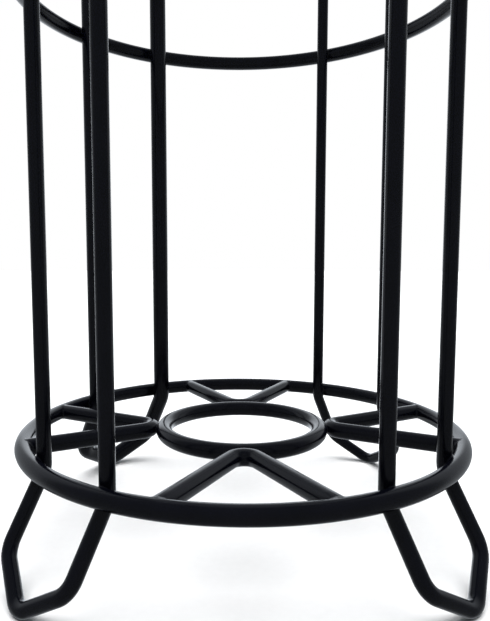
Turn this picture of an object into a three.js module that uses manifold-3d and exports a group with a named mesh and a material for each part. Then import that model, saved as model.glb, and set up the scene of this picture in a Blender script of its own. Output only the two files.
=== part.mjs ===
// Umbrella stand: an open round basket of bent steel rod, welded together and painted black.
//
// Three equal hoops stand one above another. Four leg rods run up inside them. Each leg is one rod
// bent like a hairpin: two uprights side by side, with the closed end kicked outwards under the
// bottom hoop as a pointed foot. In the bottom hoop four V-shaped spokes carry a small centre hoop.
// Wherever two rods meet there is a weld bead.
//
// Millimetres, +Z up. The origin is on the floor, on the axis of the hoops, and the front is -Y.

import * as THREE from 'three';
import { mergeVertices } from 'three/addons/utils/BufferGeometryUtils.js';
import Module from 'manifold-3d';

const wasm = await Module();
wasm.setup();

// ---- Driving dimensions ----

const COAT = 0.2;                  // thickness of the paint on every rod
const HOOP_RADIUS = 113;           // centreline of the three big hoops
const HOOP_ROD = 8 + 2 * COAT;     // diameter of the rod in the hoops and spokes
const HOOP_SPACING = 227;          // from one hoop to the next
const BASE_HOOP_HEIGHT = 51.2;     // floor to the middle of the bottom hoop
const CENTRE_HOOP_RADIUS = 42;     // centreline of the small hoop

const LEG_ROD = 6.4 + 2 * COAT;    // diameter of the rod in three of the legs
const LEG_HALF_WIDTH = 25.2;       // middle of a hairpin to the centre of either upright
const STOUT_LEG_ROD = 9.8 + 2 * COAT;   // the same for the heavier back left leg
const STOUT_LEG_HALF_WIDTH = 25.7;
const FOOT_TILT = Math.PI / 6;     // how far a foot leans out from the vertical
const FOOT_POINT_LENGTH = 16.8;    // knees to the sharp corner of the point, along the foot
const HOOP_TO_FOOT_BEND = 3.2;     // bottom hoop's middle down to the corner where a foot kicks out
const FOOT_BEND_RADIUS = 12;
const KNEE_RADIUS = 10.8;
const TOE_RADIUS = 8.6;
const FOOT_FLAT = 0.4;             // depth of the flat worn under each toe
const UPRIGHT_END_DROP = 0.8;      // top of the top hoop down to the cut ends of the uprights

const SPOKE_HALF_SPREAD = 35;      // middle of a spoke to the outer end of either arm
const SPOKE_BEND_RADIUS = 7;
const SPOKE_HALF_ANGLE = THREE.MathUtils.degToRad(27.7);

const WELD_SET = 1.15;             // how far two rods sink into each other at a weld
const STOUT_WELD_SET = 0.4;        // the same where the heavier leg meets the hoops
const WELD_REACH = 2.4;            // how far a bead stands out past the rod that it runs round
const WELD_THICKNESS = 3.2;        // half the thickness of a bead between two crossing rods
const GAP = 0.3;                   // space left between neighbouring pieces

// ---- Fineness of the faceted solids ----

const ROD_SIDES = 8;
const HOOP_ROD_SIDES = 8;
const HOOP_SIDES = 48;
const CENTRE_HOOP_SIDES = 32;
const BEND_STEPS = 4;
const BEAD_SIDES = 8;
const BEAD_RINGS = 6;

// ---- Names and places of what repeats ----

const HOOPS = ['base_hoop', 'middle_hoop', 'top_hoop'].map((name, index) => ({
  name,
  height: BASE_HOOP_HEIGHT + index * HOOP_SPACING,
}));
const TOP_OF_UPRIGHTS = HOOPS[2].height + HOOP_ROD / 2 - UPRIGHT_END_DROP;

const SLIM = { rod: LEG_ROD, halfWidth: LEG_HALF_WIDTH, weldSet: WELD_SET };
const STOUT = { rod: STOUT_LEG_ROD, halfWidth: STOUT_LEG_HALF_WIDTH, weldSet: STOUT_WELD_SET };

// Turns are counterclockwise from the front, seen from above.
const LEGS = [
  { name: 'front_right', turn: Math.PI / 4, ...SLIM },
  { name: 'back_right', turn: 3 * Math.PI / 4, ...SLIM },
  { name: 'back_left', turn: 5 * Math.PI / 4, ...STOUT },
  { name: 'front_left', turn: 7 * Math.PI / 4, ...SLIM },
];
const SPOKES = ['front', 'right', 'back', 'left'].map((name, index) => ({
  name,
  turn: index * Math.PI / 2,
}));
const SIDES = [{ name: 'a', sign: -1 }, { name: 'b', sign: 1 }];

// ---- Solids ----

function toSolid(geometry) {
  const bare = geometry.clone();
  bare.deleteAttribute('normal');
  bare.deleteAttribute('uv');
  const merged = mergeVertices(bare);
  return new wasm.Manifold(new wasm.Mesh({
    numProp: 3,
    vertProperties: Float32Array.from(merged.getAttribute('position').array),
    triVerts: Uint32Array.from(merged.getIndex().array),
  }));
}

function toGeometry(solid) {
  const mesh = solid.getMesh();
  const geometry = new THREE.BufferGeometry();
  geometry.setAttribute('position', new THREE.BufferAttribute(mesh.vertProperties, 3));
  geometry.setIndex(new THREE.BufferAttribute(mesh.triVerts, 1));
  geometry.computeVertexNormals();
  return geometry;
}

// ---- Bent rod ----

// A path through listed points, with one cross-section of the rod at each point.
class RodPath extends THREE.Curve {
  constructor(points) {
    super();
    this.points = points;
  }

  getPointAt(share) {
    return this.points[Math.round(share * (this.points.length - 1))].clone();
  }

  getTangentAt(share) {
    const index = Math.round(share * (this.points.length - 1));
    const before = this.points[Math.max(index - 1, 0)];
    const here = this.points[index];
    const after = this.points[Math.min(index + 1, this.points.length - 1)];
    const arriving = here.clone().sub(before).normalize();
    const leaving = after.clone().sub(here).normalize();
    return arriving.add(leaving).normalize();
  }
}

// The points of a bend that rounds off the corner between two straight runs.
function bendPoints(before, corner, after, radius) {
  const back = before.clone().sub(corner).normalize();
  const on = after.clone().sub(corner).normalize();
  const halfAngle = back.angleTo(on) / 2;
  const inward = back.clone().add(on).normalize();
  const centre = corner.clone().addScaledVector(inward, radius / Math.sin(halfAngle));
  const sideways = on.clone().sub(back).normalize();
  const halfSweep = Math.PI / 2 - halfAngle;
  return Array.from({ length: BEND_STEPS + 1 }, (_, step) => {
    const angle = halfSweep * (2 * step / BEND_STEPS - 1);
    return centre.clone()
      .addScaledVector(inward, -radius * Math.cos(angle))
      .addScaledVector(sideways, radius * Math.sin(angle));
  });
}

// Straight runs between the corners, with a bend of its own radius at each inner corner.
function bentPath(corners, radii) {
  const points = [corners[0]];
  radii.forEach((radius, index) => {
    points.push(...bendPoints(corners[index], corners[index + 1], corners[index + 2], radius));
  });
  points.push(corners[corners.length - 1]);
  return new RodPath(points);
}

function rodGeometry(path, diameter) {
  const section = new THREE.Shape().absarc(0, 0, diameter / 2, 0, 2 * Math.PI);
  return new THREE.ExtrudeGeometry(section, {
    steps: path.points.length - 1,
    curveSegments: ROD_SIDES / 2,
    extrudePath: path,
    bevelEnabled: false,
  });
}

// ---- Hoops ----

function bigHoopGeometry(height, grown = 0) {
  return new THREE.TorusGeometry(HOOP_RADIUS, HOOP_ROD / 2 + grown, HOOP_ROD_SIDES, HOOP_SIDES)
    .translate(0, 0, height);
}

function centreHoopGeometry(grown = 0) {
  const rodRadius = HOOP_ROD / 2 + grown;
  return new THREE.TorusGeometry(CENTRE_HOOP_RADIUS, rodRadius, HOOP_ROD_SIDES, CENTRE_HOOP_SIDES)
    .translate(0, 0, BASE_HOOP_HEIGHT);
}

// ---- Legs ----

// Distance from the axis to the plane of a leg's uprights, so that each upright is welded to the
// inside of the hoops.
function uprightPlane({ rod, halfWidth, weldSet }) {
  const uprightRadius = HOOP_RADIUS - HOOP_ROD / 2 - rod / 2 + weldSet;
  return Math.sqrt(uprightRadius ** 2 - halfWidth ** 2);
}

// A hairpin at the front, before it is turned to its place. The toe's lowest line is level with
// the floor, less the flat, and the rest of the foot's length is taken up above the knees.
function legPath(leg) {
  const plane = uprightPlane(leg);
  const alongFoot = (length) => new THREE.Vector3(
    0, -length * Math.sin(FOOT_TILT), -length * Math.cos(FOOT_TILT));
  const toeHalfAngle = Math.atan2(leg.halfWidth, FOOT_POINT_LENGTH);
  const cornerPastBend = TOE_RADIUS * (1 / Math.sin(toeHalfAngle) - 1);
  const bendHeight = BASE_HOOP_HEIGHT - HOOP_TO_FOOT_BEND;
  const toeHeight = leg.rod / 2 - FOOT_FLAT;
  const footLength = (bendHeight - toeHeight) / Math.cos(FOOT_TILT) + cornerPastBend;

  const bend = new THREE.Vector3(leg.halfWidth, -plane, bendHeight);
  const top = new THREE.Vector3(leg.halfWidth, -plane, TOP_OF_UPRIGHTS);
  const knee = bend.clone().add(alongFoot(footLength - FOOT_POINT_LENGTH));
  const toe = new THREE.Vector3(0, -plane, bendHeight).add(alongFoot(footLength));
  const mirrored = (point) => new THREE.Vector3(-point.x, point.y, point.z);
  return bentPath(
    [mirrored(top), mirrored(bend), mirrored(knee), toe, knee, bend, top],
    [FOOT_BEND_RADIUS, KNEE_RADIUS, TOE_RADIUS, KNEE_RADIUS, FOOT_BEND_RADIUS],
  );
}

function legGeometry(leg, grown = 0) {
  return rodGeometry(legPath(leg), leg.rod + 2 * grown).rotateZ(leg.turn);
}

// The floor as a slab, which trims the toes flat.
function floorSolid() {
  const span = 4 * HOOP_RADIUS;
  return toSolid(new THREE.BoxGeometry(span, span, span).translate(0, 0, -span / 2));
}

function legSolid(leg) {
  let solid = toSolid(legGeometry(leg)).subtract(floorSolid());
  for (const hoop of HOOPS) {
    solid = solid.subtract(toSolid(bigHoopGeometry(hoop.height, GAP)));
  }
  return solid;
}

// ---- Spokes ----

// A V at the front: its rounded point is welded to the centre hoop, its arms to the bottom hoop.
function spokePath() {
  const pointRadius = CENTRE_HOOP_RADIUS + HOOP_ROD - WELD_SET;
  const cornerRadius = pointRadius - SPOKE_BEND_RADIUS * (1 / Math.sin(SPOKE_HALF_ANGLE) - 1);
  const endRadius = Math.sqrt(HOOP_RADIUS ** 2 - SPOKE_HALF_SPREAD ** 2);
  const corner = new THREE.Vector3(0, -cornerRadius, BASE_HOOP_HEIGHT);
  const end = new THREE.Vector3(SPOKE_HALF_SPREAD, -endRadius, BASE_HOOP_HEIGHT);
  const mirrored = new THREE.Vector3(-end.x, end.y, end.z);
  return bentPath([mirrored, corner, end], [SPOKE_BEND_RADIUS]);
}

function spokeGeometry(spoke, grown = 0) {
  return rodGeometry(spokePath(), HOOP_ROD + 2 * grown).rotateZ(spoke.turn);
}

function spokeSolid(spoke) {
  return toSolid(spokeGeometry(spoke))
    .subtract(toSolid(bigHoopGeometry(BASE_HOOP_HEIGHT, GAP)))
    .subtract(toSolid(centreHoopGeometry(GAP)));
}

// ---- Weld beads ----

// A rounded lump over the place where two rods meet, less the rods themselves. It is placed at the
// front, at a distance from the axis and turned round it.
function beadSolid({ radius, height, turn, half, rods }) {
  const lump = new THREE.SphereGeometry(1, BEAD_SIDES, BEAD_RINGS)
    .scale(half.along, half.outward, half.up)
    .translate(0, -radius, height)
    .rotateZ(turn);
  return rods.reduce((solid, rod) => solid.subtract(toSolid(rod)), toSolid(lump));
}

function legBeads(leg) {
  const uprightTurn = Math.atan2(leg.halfWidth, uprightPlane(leg));
  return HOOPS.flatMap((hoop) => SIDES.map((side) => ({
    name: `weld_${hoop.name}_${leg.name}_${side.name}`,
    solid: beadSolid({
      radius: HOOP_RADIUS - HOOP_ROD / 2,
      height: hoop.height,
      turn: leg.turn + side.sign * uprightTurn,
      half: {
        along: leg.rod / 2 + WELD_REACH,
        outward: WELD_THICKNESS,
        up: HOOP_ROD / 2,
      },
      rods: [bigHoopGeometry(hoop.height, GAP), legGeometry(leg, GAP)],
    }),
  })));
}

function spokeBeads(spoke) {
  const endTurn = Math.asin(SPOKE_HALF_SPREAD / HOOP_RADIUS);
  const spokeRod = spokeGeometry(spoke, GAP);
  const ends = SIDES.map((side) => ({
    name: `weld_base_hoop_spoke_${spoke.name}_${side.name}`,
    solid: beadSolid({
      radius: HOOP_RADIUS - HOOP_ROD / 2,
      height: BASE_HOOP_HEIGHT,
      turn: spoke.turn + side.sign * endTurn,
      half: {
        along: HOOP_ROD / 2 + WELD_REACH,
        outward: WELD_THICKNESS,
        up: HOOP_ROD / 2 + WELD_REACH / 2,
      },
      rods: [bigHoopGeometry(BASE_HOOP_HEIGHT, GAP), spokeRod],
    }),
  }));
  const point = {
    name: `weld_centre_hoop_spoke_${spoke.name}`,
    solid: beadSolid({
      radius: CENTRE_HOOP_RADIUS + HOOP_ROD / 2,
      height: BASE_HOOP_HEIGHT,
      turn: spoke.turn,
      half: {
        along: HOOP_ROD / 2 + WELD_REACH,
        outward: WELD_THICKNESS,
        up: HOOP_ROD / 2,
      },
      rods: [centreHoopGeometry(GAP), spokeRod],
    }),
  };
  return [...ends, point];
}

// ---- Assembly ----

const PAINT = { color: 0x121317, roughness: 0.38, metalness: 0.2 };
const PAINTED_WELD = { color: 0x101115, roughness: 0.5, metalness: 0.2 };

const stand = new THREE.Group();

function addPiece(name, geometry, finish) {
  const mesh = new THREE.Mesh(geometry, new THREE.MeshStandardMaterial(finish));
  mesh.name = name;
  stand.add(mesh);
}

for (const hoop of HOOPS) {
  addPiece(hoop.name, bigHoopGeometry(hoop.height), PAINT);
}
addPiece('centre_hoop', centreHoopGeometry(), PAINT);
for (const spoke of SPOKES) {
  addPiece(`spoke_${spoke.name}`, toGeometry(spokeSolid(spoke)), PAINT);
}
for (const leg of LEGS) {
  addPiece(`leg_${leg.name}`, toGeometry(legSolid(leg)), PAINT);
}
for (const bead of [...LEGS.flatMap(legBeads), ...SPOKES.flatMap(spokeBeads)]) {
  addPiece(bead.name, toGeometry(bead.solid), PAINTED_WELD);
}

export default stand;
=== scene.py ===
"""Looks of the umbrella stand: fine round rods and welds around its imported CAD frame.

Each CAD piece gets a finer one in the same place. A rod is swept along its own centre line, and a
weld bead is the lump that smooths the corner between two rods. Metres, +Z up, the front is -Y.
"""

import math

import bmesh
import bpy
import numpy as np
from mathutils import Matrix, Vector


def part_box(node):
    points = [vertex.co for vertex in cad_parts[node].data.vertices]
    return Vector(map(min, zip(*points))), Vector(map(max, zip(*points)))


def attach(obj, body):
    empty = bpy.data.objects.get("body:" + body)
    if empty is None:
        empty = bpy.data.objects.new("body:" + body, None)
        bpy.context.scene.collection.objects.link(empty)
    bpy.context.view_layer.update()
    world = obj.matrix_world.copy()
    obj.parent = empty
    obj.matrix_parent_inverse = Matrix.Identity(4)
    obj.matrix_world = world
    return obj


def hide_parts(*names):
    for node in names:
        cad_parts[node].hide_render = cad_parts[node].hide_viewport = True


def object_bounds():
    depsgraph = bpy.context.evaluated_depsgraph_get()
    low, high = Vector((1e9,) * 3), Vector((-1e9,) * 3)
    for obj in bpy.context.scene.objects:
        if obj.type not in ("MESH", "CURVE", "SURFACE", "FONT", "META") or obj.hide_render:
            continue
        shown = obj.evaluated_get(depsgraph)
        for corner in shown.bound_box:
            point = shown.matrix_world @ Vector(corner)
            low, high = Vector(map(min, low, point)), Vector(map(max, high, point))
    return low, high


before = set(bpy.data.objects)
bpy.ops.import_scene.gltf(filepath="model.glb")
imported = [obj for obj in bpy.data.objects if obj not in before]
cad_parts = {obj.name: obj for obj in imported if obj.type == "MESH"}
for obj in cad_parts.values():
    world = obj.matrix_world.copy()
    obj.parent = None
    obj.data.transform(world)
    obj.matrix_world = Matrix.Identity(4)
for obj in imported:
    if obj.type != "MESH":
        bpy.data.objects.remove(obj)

CAD_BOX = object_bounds()
MM = 0.001

# ---- Sizes read from the frame ----

BASE_LOW, BASE_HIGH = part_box("base_hoop")
HOOP_ROD = BASE_HIGH.z - BASE_LOW.z
HOOP_RADIUS = BASE_HIGH.x - HOOP_ROD / 2
CENTRE_HOOP_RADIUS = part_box("centre_hoop")[1].x - HOOP_ROD / 2
HOOP_HEIGHTS = {
    name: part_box(name)[0].z + HOOP_ROD / 2
    for name in ("base_hoop", "middle_hoop", "top_hoop")
}
BASE_HEIGHT = HOOP_HEIGHTS["base_hoop"]

# ---- Sizes of the bends, as in the CAD ----

FOOT_TILT = math.radians(30)
FOOT_POINT_LENGTH = 16.8 * MM
HOOP_TO_FOOT_BEND = 3.2 * MM
FOOT_BEND_RADIUS = 12 * MM
KNEE_RADIUS = 10.8 * MM
TOE_RADIUS = 8.6 * MM
FOOT_FLAT = 0.4 * MM
SPOKE_HALF_SPREAD = 35 * MM
SPOKE_BEND_RADIUS = 7 * MM
SPOKE_HALF_ANGLE = math.radians(27.7)
SPOKE_END_GAP = 1 * MM   # how far a spoke's cut end stops short of the base hoop's centre line
WELD_SET = 1.15 * MM     # how far a spoke's point sinks into the centre hoop

# Turns are counterclockwise from the front, seen from above.
LEG_TURNS = {
    "front_right": math.radians(45),
    "back_right": math.radians(135),
    "back_left": math.radians(225),
    "front_left": math.radians(315),
}
SPOKE_TURNS = {
    "front": 0,
    "right": math.radians(90),
    "back": math.radians(180),
    "left": math.radians(270),
}
SIDES = {"a": -1, "b": 1}

# ---- Fineness of the meshes ----

ROD_SIDES = 32
HOOP_STEPS = 192
CENTRE_HOOP_STEPS = 120
BEND_STEPS = 14
STRAIGHT_STEP = 10 * MM
CUT_EDGE = 0.5 * MM      # radius of the rounded edge of a rod's cut end
CUT_EDGE_STEPS = 4
BEAD_SUBDIVISIONS = 5
BEAD_MARCH_STEPS = 24    # steps outwards in which a bead's surface is looked for

# ---- Welds ----

WELD_REACH = 7 * MM      # from the middle of a weld to where its bead ends
WELD_BLEND = 1.2 * MM    # how far up each rod the bead climbs from the corner
WELD_DEPTH = 0.05 * MM   # how far a bead lies under a rod's skin where it isn't needed
RIPPLE_COUNT = 11        # ripples round a bead, as welding leaves them
RIPPLE_HEIGHT = 0.05 * MM

# ---- Paint and floor ----

PAINT_DARK = (0.0007, 0.0009, 0.0023, 1)
PAINT_LIGHT = (0.0012, 0.0014, 0.0034, 1)
PAINT_IOR = 1.42
PAINT_DRIFT_SIZE = 14 * MM
PAINT_GRIT_SIZE = 0.25 * MM
PAINT_GRIT_DEPTH = 0.002 * MM
PAINT_GRIT_DETAIL = 4.0
ROD_PEEL_SIZE = 1.5 * MM
ROD_PEEL_DEPTH = 0.02 * MM
ROD_ROUGHNESS = (0.15, 0.21)
WELD_PEEL_SIZE = 0.9 * MM
WELD_PEEL_DEPTH = 0.04 * MM
WELD_ROUGHNESS = (0.22, 0.32)
FLOOR_LOW = (0.78, 0.78, 0.78, 1)
FLOOR_HIGH = (0.82, 0.82, 0.82, 1)
FLOOR_GRAIN = 4 * MM
FLOOR_ROUGHNESS = 0.9
NOISE_SPAN = (0.3, 0.7)  # where nearly all of a noise texture's values lie

# ---- Camera and studio ----

CAMERA_PLACE = Vector((-8.21, -324.2, 144.3)) * MM
CAMERA_PITCH = math.radians(5.24)
CAMERA_YAW = math.radians(-0.203)
CAMERA_LENS = 35.15
CAMERA_SHIFT = (0.0266, 0.0025)
FLOOR_RADIUS = 6.0
FLOOR_SIDES = 96
ROOM = 0.17              # brightness of the studio on the camera's side
SKY = 0.42               # brightness behind the stand
SKY_SPAN = (0.05, 0.4)   # the directions, by their Y, over which the one turns into the other
BACKDROP = 0.95          # what a backdrop straight behind the stand adds to that
BACKDROP_SPAN = (0.8, 0.94)
STUDIO_WHITE = (0.94, 1, 1.07, 1)  # the slightly blue light that the rods mirror
PLAIN_WHITE = (1, 1, 1, 1)         # what the camera sees behind the stand
SUN = 5.4                # soft light from overhead, which lights the floor
SUN_SPREAD = math.radians(70)


# ---- Centre lines of the rods ----

def straight(start, end):
    """Points from start up to, but not at, end."""
    steps = max(1, math.ceil((end - start).length / STRAIGHT_STEP))
    return [start.lerp(end, step / steps) for step in range(steps)]


def bend(before, corner, after, radius):
    """Points of a bend that rounds off the corner between two straight runs."""
    back = (before - corner).normalized()
    on = (after - corner).normalized()
    half_angle = back.angle(on) / 2
    inward = (back + on).normalized()
    centre = corner + inward * (radius / math.sin(half_angle))
    sideways = (on - back).normalized()
    half_sweep = math.pi / 2 - half_angle
    angles = [half_sweep * (2 * step / BEND_STEPS - 1) for step in range(BEND_STEPS + 1)]
    return [
        centre - inward * radius * math.cos(angle) + sideways * radius * math.sin(angle)
        for angle in angles
    ]


def bent_path(corners, radii):
    """Straight runs between the corners, with a bend of its own radius at each inner corner."""
    path = []
    here = corners[0]
    for index, radius in enumerate(radii):
        points = bend(*corners[index:index + 3], radius)
        path += straight(here, points[0]) + points[:-1]
        here = points[-1]
    return path + straight(here, corners[-1]) + [corners[-1]]


def circle_path(radius, height, steps):
    angles = [2 * math.pi * step / steps for step in range(steps)]
    return [Vector((radius * math.sin(a), -radius * math.cos(a), height)) for a in angles]


def turned(path, turn):
    rotation = Matrix.Rotation(turn, 3, "Z")
    return [rotation @ point for point in path]


def mirrored(point):
    return Vector((-point.x, point.y, point.z))


def upright_sizes(leg, turn):
    """A leg's rod diameter, the place of one upright and its cut end's height, from the CAD leg."""
    corners = turned([v.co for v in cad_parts[leg].data.vertices], -turn)
    top = max(corner.z for corner in corners)
    end = [corner for corner in corners if corner.x > 0 and top - corner.z < CUT_EDGE]
    low, high = (Vector(map(pick, *end)) for pick in (min, max))
    rod = max((a - b).length for a in end for b in end)
    return rod, (low + high) / 2


def leg_path(rod, top):
    """A hairpin at the front: up one upright and down the other, with the foot between them."""
    toe_half_angle = math.atan2(top.x, FOOT_POINT_LENGTH)
    corner_past_bend = TOE_RADIUS * (1 / math.sin(toe_half_angle) - 1)
    bend_height = BASE_HEIGHT - HOOP_TO_FOOT_BEND
    foot_drop = bend_height - (rod / 2 - FOOT_FLAT)
    foot_length = foot_drop / math.cos(FOOT_TILT) + corner_past_bend
    along_foot = Vector((0, -math.sin(FOOT_TILT), -math.cos(FOOT_TILT)))

    foot_bend = Vector((top.x, top.y, bend_height))
    knee = foot_bend + along_foot * (foot_length - FOOT_POINT_LENGTH)
    toe = Vector((0, top.y, bend_height)) + along_foot * foot_length
    return bent_path(
        [mirrored(top), mirrored(foot_bend), mirrored(knee), toe, knee, foot_bend, top],
        [FOOT_BEND_RADIUS, KNEE_RADIUS, TOE_RADIUS, KNEE_RADIUS, FOOT_BEND_RADIUS],
    )


def spoke_path():
    """A V at the front, with its rounded point on the centre hoop and its arms on the base hoop."""
    point_radius = CENTRE_HOOP_RADIUS + HOOP_ROD - WELD_SET
    corner_radius = point_radius - SPOKE_BEND_RADIUS * (1 / math.sin(SPOKE_HALF_ANGLE) - 1)
    corner = Vector((0, -corner_radius, BASE_HEIGHT))
    weld_depth = math.sqrt(HOOP_RADIUS**2 - SPOKE_HALF_SPREAD**2)
    weld = Vector((SPOKE_HALF_SPREAD, -weld_depth, BASE_HEIGHT))
    arm = (weld - corner).normalized()
    end = weld - arm * SPOKE_END_GAP
    return bent_path([mirrored(end), corner, end], [SPOKE_BEND_RADIUS])


# ---- Rods as meshes ----

def directions(path, closed):
    """The direction of travel at each point, halfway between the runs on either side of it."""
    runs = [(b - a).normalized() for a, b in zip(path, path[1:] + path[:1])]
    if not closed:
        runs[-1] = runs[-2]
    ways = [(before + after).normalized() for before, after in zip(runs[-1:] + runs, runs)]
    if not closed:
        ways[0] = runs[0]
    return ways


def end_rings(end, outward, rod):
    """Centres and radii of the rings that round off a cut end, from the rod to the cut."""
    angles = [math.pi / 2 * step / CUT_EDGE_STEPS for step in range(CUT_EDGE_STEPS + 1)]
    return [
        (end - outward * CUT_EDGE * (1 - math.sin(a)), rod / 2 - CUT_EDGE * (1 - math.cos(a)))
        for a in angles
    ]


def rod_rings(path, rod, closed):
    """The rings of a rod as centres, directions and radii."""
    ways = directions(path, closed)
    rings = [(point, way, rod / 2) for point, way in zip(path, ways)]
    if closed:
        return rings
    first = [(c, ways[0], r) for c, r in end_rings(path[0], -ways[0], rod)]
    last = [(c, ways[-1], r) for c, r in end_rings(path[-1], ways[-1], rod)]
    return first[::-1] + rings[1:-1] + last


def rod_skin(path, rod, closed=False):
    """Corners and faces of a round rod along a path."""
    corners = []
    rings = rod_rings(path, rod, closed)
    side = rings[0][1].orthogonal().normalized()
    for centre, way, radius in rings:
        side = (side - way * side.dot(way)).normalized()
        up = way.cross(side)
        for step in range(ROD_SIDES):
            angle = 2 * math.pi * step / ROD_SIDES
            corners.append(centre + (side * math.cos(angle) + up * math.sin(angle)) * radius)

    def corner_number(ring, step):
        return ring % len(rings) * ROD_SIDES + step % ROD_SIDES

    faces = [
        tuple(corner_number(ring + r, step + s) for r, s in ((0, 0), (0, 1), (1, 1), (1, 0)))
        for ring in range(len(rings) if closed else len(rings) - 1)
        for step in range(ROD_SIDES)
    ]
    if not closed:
        faces.append(tuple(corner_number(0, step) for step in reversed(range(ROD_SIDES))))
        faces.append(tuple(corner_number(len(rings) - 1, step) for step in range(ROD_SIDES)))
    return corners, faces


def standing_on_floor(corners):
    """The same corners, with what lies under the floor pressed flat against it."""
    return [Vector((corner.x, corner.y, max(corner.z, 0))) for corner in corners]


# ---- Weld beads as meshes ----

def distance_to_rod(points, path, rod, closed):
    """How far each point is outside a rod's skin. It is negative inside the rod."""
    line = np.array(path + path[:1] if closed else path)
    starts, runs = line[:-1], np.diff(line, axis=0)
    # The points are all about one weld, so only the runs near the first of them matter.
    near = np.linalg.norm(starts - points[0], axis=1) < WELD_REACH + 2 * STRAIGHT_STEP
    starts, runs = starts[near], runs[near]
    offsets = points[:, None] - starts
    shares = np.clip((offsets * runs).sum(-1) / (runs * runs).sum(-1), 0, 1)
    distance = np.linalg.norm(offsets - shares[..., None] * runs, axis=-1).min(-1) - rod / 2
    if not closed:
        for end, inner in ((path[0], path[1]), (path[-1], path[-2])):
            outward = np.array((end - inner).normalized())
            distance = np.maximum(distance, (points - np.array(end)) @ outward)
    return distance


def bead_depth(points, middle, outward, rods):
    """How far each point is outside a weld bead: both rods, with the corner between them filled."""
    first, second = (distance_to_rod(points, *rod) for rod in rods)
    offsets = points - middle
    distance = np.linalg.norm(offsets, axis=1)
    fade = np.clip(1 - (distance / WELD_REACH) ** 2, 0, 1)
    # A smooth minimum of the two, which is up to a quarter of the blend lower than the plain one.
    overlap = np.clip(1 - np.abs(first - second) / WELD_BLEND, 0, 1)
    around = np.arctan2(offsets[:, 2], offsets @ np.cross(outward, (0, 0, 1)))
    ripple = RIPPLE_HEIGHT * np.cos(RIPPLE_COUNT * around)
    filling = overlap**2 * fade * (WELD_BLEND / 4 + ripple)
    return np.minimum(first, second) + WELD_DEPTH - filling


def bead_skin(middle, outward, rods):
    """Corners and faces of a weld bead, found by going out from its middle until it ends."""
    ball = bmesh.new()
    bmesh.ops.create_icosphere(ball, subdivisions=BEAD_SUBDIVISIONS, radius=1)
    rays = np.array([corner.co for corner in ball.verts])
    faces = [tuple(corner.index for corner in face.verts) for face in ball.faces]
    ball.free()

    middle, outward = np.array(middle), np.array(outward)
    steps = WELD_REACH * np.arange(1, BEAD_MARCH_STEPS + 1) / BEAD_MARCH_STEPS
    reach = np.full(len(rays), WELD_REACH)
    before = bead_depth(middle[None], middle, outward, rods).repeat(len(rays))
    going = np.ones(len(rays), bool)
    for step in steps:
        here = bead_depth(middle + rays * step, middle, outward, rods)
        leaves = going & (here > 0)
        share = before[leaves] / (before[leaves] - here[leaves])
        reach[leaves] = step - (1 - share) * WELD_REACH / BEAD_MARCH_STEPS
        going &= ~leaves
        before = here
    corners = middle + rays * reach[:, None]
    corners[:, 2] = np.minimum(corners[:, 2], CAD_BOX[1].z)
    return [Vector(corner) for corner in corners], faces


# ---- Materials ----

def node_tools(tree):
    """Functions that fill or link a node's inputs, and that add a node with its inputs filled."""

    def fill(node, inputs):
        for key, value in inputs.items():
            if isinstance(value, bpy.types.NodeSocket):
                tree.links.new(value, node.inputs[key])
            else:
                node.inputs[key].default_value = value

    def add(kind, inputs, **settings):
        node = tree.nodes.new(kind)
        for setting, value in settings.items():
            setattr(node, setting, value)
        fill(node, inputs)
        return node

    return fill, add


def new_material(name):
    """A material, a function that fills its shader's inputs, and one that adds a node."""
    material = bpy.data.materials.new(name)
    material.use_nodes = True
    fill, add = node_tools(material.node_tree)

    def set_shader(inputs):
        fill(material.node_tree.nodes["Principled BSDF"], inputs)

    return material, set_shader, add


def grain(add, place, size, detail=2.0):
    """Noise whose features have a real size, in metres."""
    inputs = {"Vector": place, "Scale": 1 / size, "Detail": detail}
    return add("ShaderNodeTexNoise", inputs).outputs["Fac"]


def between(add, value, span, low, high, easing="LINEAR"):
    """A number that goes from low to high as the value goes over a span."""
    start, end = span
    inputs = {"Value": value, "From Min": start, "From Max": end, "To Min": low, "To Max": high}
    return add("ShaderNodeMapRange", inputs, interpolation_type=easing).outputs["Result"]


def shade(add, share, low, high):
    """A colour that goes from low to high with the share."""
    node = add("ShaderNodeValToRGB", {"Fac": share})
    node.color_ramp.elements[0].color = low
    node.color_ramp.elements[1].color = high
    return node.outputs["Color"]


def bumps(add, height, depth, under=None):
    """Raised detail of a real depth, on top of other raised detail if there is any."""
    inputs = {"Height": height, "Distance": depth, "Strength": 1.0}
    if under is not None:
        inputs["Normal"] = under
    return add("ShaderNodeBump", inputs).outputs["Normal"]


def paint_material(name, peel_size, peel_depth, roughness):
    """Black satin powder coat: orange peel, fine grit, and a tone and gloss that drift a little."""
    material, set_shader, add = new_material(name)
    place = add("ShaderNodeTexCoord", {}).outputs["Object"]
    peel = grain(add, place, peel_size)
    grit = grain(add, place, PAINT_GRIT_SIZE, detail=PAINT_GRIT_DETAIL)
    drift = grain(add, place, PAINT_DRIFT_SIZE)
    set_shader({
        "Base Color": shade(add, between(add, drift, NOISE_SPAN, 0, 1), PAINT_DARK, PAINT_LIGHT),
        "Roughness": between(add, drift, NOISE_SPAN, *roughness),
        "IOR": PAINT_IOR,
        "Normal": bumps(add, grit, PAINT_GRIT_DEPTH, bumps(add, peel, peel_depth)),
    })
    return material


def floor_material():
    """Plain pale studio paper."""
    material, set_shader, add = new_material("pale_floor")
    place = add("ShaderNodeTexCoord", {}).outputs["Object"]
    set_shader({
        "Base Color": shade(add, grain(add, place, FLOOR_GRAIN), FLOOR_LOW, FLOOR_HIGH),
        "Roughness": FLOOR_ROUGHNESS,
    })
    return material


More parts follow.
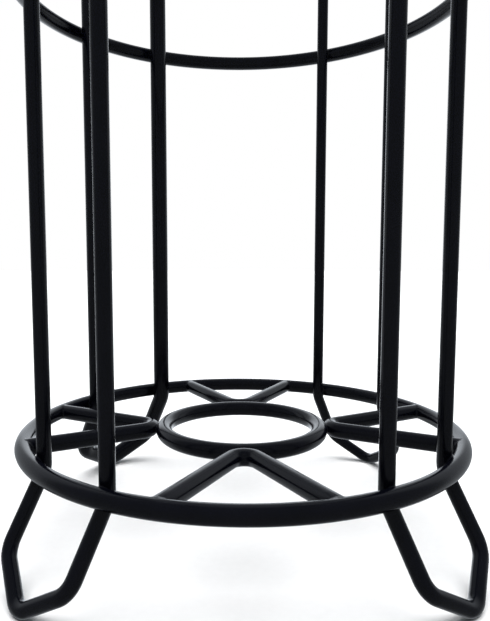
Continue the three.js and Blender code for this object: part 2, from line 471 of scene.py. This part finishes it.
PAINT = paint_material("painted_rod", ROD_PEEL_SIZE, ROD_PEEL_DEPTH, ROD_ROUGHNESS)
WELD_PAINT = paint_material("painted_weld", WELD_PEEL_SIZE, WELD_PEEL_DEPTH, WELD_ROUGHNESS)


# ---- Pieces ----

def add_mesh(name, corners, faces, material):
    mesh = bpy.data.meshes.new(name)
    mesh.from_pydata(corners, [], faces)
    mesh.shade_smooth()
    mesh.materials.append(material)
    piece = bpy.data.objects.new(name, mesh)
    bpy.context.scene.collection.objects.link(piece)
    return piece


def stand_for(node, corners, faces, material, slot):
    """A fine piece in the place of a CAD node. Only the caps of cut rods are shaded flat."""
    piece = add_mesh(f"fine_{node}", corners, faces, material)
    for face in piece.data.polygons:
        face.use_smooth = len(face.vertices) < ROD_SIDES
    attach(piece, "root")
    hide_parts(node)


def add_rod(node, path, rod, closed=False):
    """A rod's piece. It returns what a weld bead needs to know about the rod."""
    corners, faces = rod_skin(path, rod, closed)
    stand_for(node, standing_on_floor(corners), faces, PAINT, "painted_rod")
    return path, rod, closed


def add_bead(node, radius, height, turn, rods):
    """A weld bead at a place on a circle round the stand's axis."""
    outward = Vector((math.sin(turn), -math.cos(turn), 0))
    middle = outward * radius + Vector((0, 0, height))
    stand_for(node, *bead_skin(middle, outward, rods), WELD_PAINT, "painted_weld")


hoops = {
    name: add_rod(name, circle_path(HOOP_RADIUS, height, HOOP_STEPS), HOOP_ROD, closed=True)
    for name, height in HOOP_HEIGHTS.items()
}
centre_path = circle_path(CENTRE_HOOP_RADIUS, BASE_HEIGHT, CENTRE_HOOP_STEPS)
centre_hoop = add_rod("centre_hoop", centre_path, HOOP_ROD, closed=True)

for leg, turn in LEG_TURNS.items():
    rod, top = upright_sizes(f"leg_{leg}", turn)
    leg_rod = add_rod(f"leg_{leg}", turned(leg_path(rod, top), turn), rod)
    half_turn = math.atan2(top.x, -top.y)
    for hoop, height in HOOP_HEIGHTS.items():
        for side, sign in SIDES.items():
            add_bead(
                f"weld_{hoop}_{leg}_{side}",
                HOOP_RADIUS - HOOP_ROD / 2,
                height,
                turn + sign * half_turn,
                (hoops[hoop], leg_rod),
            )

for spoke, turn in SPOKE_TURNS.items():
    spoke_rod = add_rod(f"spoke_{spoke}", turned(spoke_path(), turn), HOOP_ROD)
    half_turn = math.asin(SPOKE_HALF_SPREAD / HOOP_RADIUS)
    for side, sign in SIDES.items():
        add_bead(
            f"weld_base_hoop_spoke_{spoke}_{side}",
            HOOP_RADIUS - HOOP_ROD / 2,
            BASE_HEIGHT,
            turn + sign * half_turn,
            (hoops["base_hoop"], spoke_rod),
        )
    add_bead(
        f"weld_centre_hoop_spoke_{spoke}",
        CENTRE_HOOP_RADIUS + HOOP_ROD / 2,
        BASE_HEIGHT,
        turn,
        (centre_hoop, spoke_rod),
    )


# ---- Studio ----

def add_floor():
    """A plain pale floor. The rods don't mirror it."""
    rim = circle_path(FLOOR_RADIUS, 0, FLOOR_SIDES)
    floor = add_mesh("floor", rim, [tuple(range(FLOOR_SIDES))], floor_material())
    floor.visible_glossy = False


def add_camera():
    """The camera, close in front of the stand, looking a little down."""
    camera = bpy.data.objects.new("camera", bpy.data.cameras.new("camera"))
    camera.location = CAMERA_PLACE
    camera.rotation_euler = (math.pi / 2 - CAMERA_PITCH, 0, CAMERA_YAW)
    camera.data.lens = CAMERA_LENS
    camera.data.shift_x, camera.data.shift_y = CAMERA_SHIFT
    camera.data.clip_start = MM
    bpy.context.scene.collection.objects.link(camera)
    bpy.context.scene.camera = camera


def add_sky():
    """Soft light from behind the stand, out of a darker room, against plain white."""
    world = bpy.data.worlds.new("studio")
    bpy.context.scene.world = world
    world.use_nodes = True
    world.node_tree.nodes.clear()
    _, add = node_tools(world.node_tree)
    direction = add("ShaderNodeTexCoord", {}).outputs["Generated"]
    backwards = add("ShaderNodeSeparateXYZ", {"Vector": direction}).outputs["Y"]
    sky = between(add, backwards, SKY_SPAN, ROOM, SKY, "SMOOTHSTEP")
    backdrop = between(add, backwards, BACKDROP_SPAN, 0, BACKDROP, "SMOOTHSTEP")
    strength = add("ShaderNodeMath", {0: sky, 1: backdrop}, operation="ADD").outputs["Value"]
    light = add("ShaderNodeBackground", {"Color": STUDIO_WHITE, "Strength": strength})
    seen = add("ShaderNodeBackground", {"Color": PLAIN_WHITE})
    is_seen = add("ShaderNodeLightPath", {}).outputs["Is Camera Ray"]
    shaders = {0: is_seen, 1: light.outputs["Background"], 2: seen.outputs["Background"]}
    mixed = add("ShaderNodeMixShader", shaders).outputs["Shader"]
    add("ShaderNodeOutputWorld", {"Surface": mixed})


def add_sun():
    """A broad soft light straight overhead. The rods don't mirror it."""
    sun = bpy.data.objects.new("sun", bpy.data.lights.new("sun", "SUN"))
    sun.data.energy = SUN
    sun.data.angle = SUN_SPREAD
    sun.visible_glossy = False
    bpy.context.scene.collection.objects.link(sun)


add_floor()
add_camera()
add_sky()
add_sun()
bpy.context.scene.view_settings.view_transform = "Standard"
